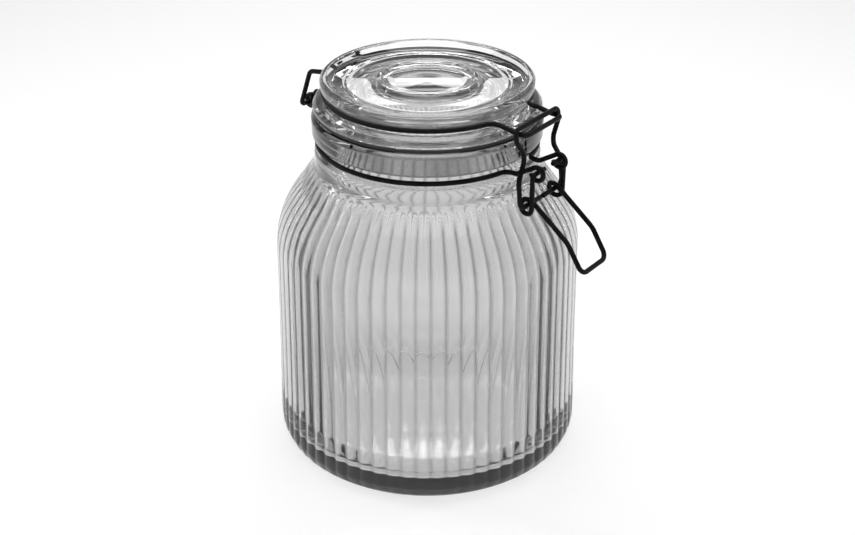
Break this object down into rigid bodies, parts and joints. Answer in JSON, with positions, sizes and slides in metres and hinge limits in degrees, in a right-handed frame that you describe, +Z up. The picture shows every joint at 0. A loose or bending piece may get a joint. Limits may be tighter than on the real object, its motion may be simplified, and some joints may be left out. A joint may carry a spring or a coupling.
{
  "type": "clip-top glass jar",
  "caption": "Round storage jar of clear ribbed glass, with a hinged glass lid, a rubber sealing ring and a bent-wire clip whose handle pulls the lid shut.",
  "frame": {"origin": "centre of the flat foot, on the jar's axis", "axes": "+Z up along the jar's axis; -Y towards the clip at the front, +Y towards the lid's wire hinge"},
  "size_m": [0.1426, 0.162, 0.1815],
  "materials": {
    "clear_glass": "gloss",
    "lid_clear_glass": "gloss",
    "black_rubber": "matt",
    "black_wire": "satin"
  },
  "bodies": {
    "jar": {"jar_glass": "clear_glass", "neck_wire": "black_wire"},
    "lid": {"lid_glass": "lid_clear_glass", "seal_ring": "black_rubber", "lid_wire": "black_wire"},
    "lever": {"lever_wire": "black_wire"},
    "bail": {"bail_wire": "black_wire"}
  },
  "joints": [
    {"name": "lid_hinge", "type": "hinge", "parent": "jar", "child": "lid", "pos_m": [0, 0.0663, 0.1542], "axis": [-1, 0, 0], "range_deg": [0, 110]},
    {"name": "clip_lever", "type": "hinge", "parent": "jar", "child": "lever", "pos_m": [0, -0.0645, 0.1548], "axis": [-1, 0, 0], "range_deg": [0, 85]},
    {"name": "bail_pivot", "type": "hinge", "parent": "lever", "child": "bail", "pos_m": [0, -0.0615, 0.13975], "axis": [1, 0, 0], "range_deg": [0, 111]}
  ],
  "couplings": [
    {"joint": "bail_pivot", "follows": "clip_lever", "ratio": 1.3}
  ]
}
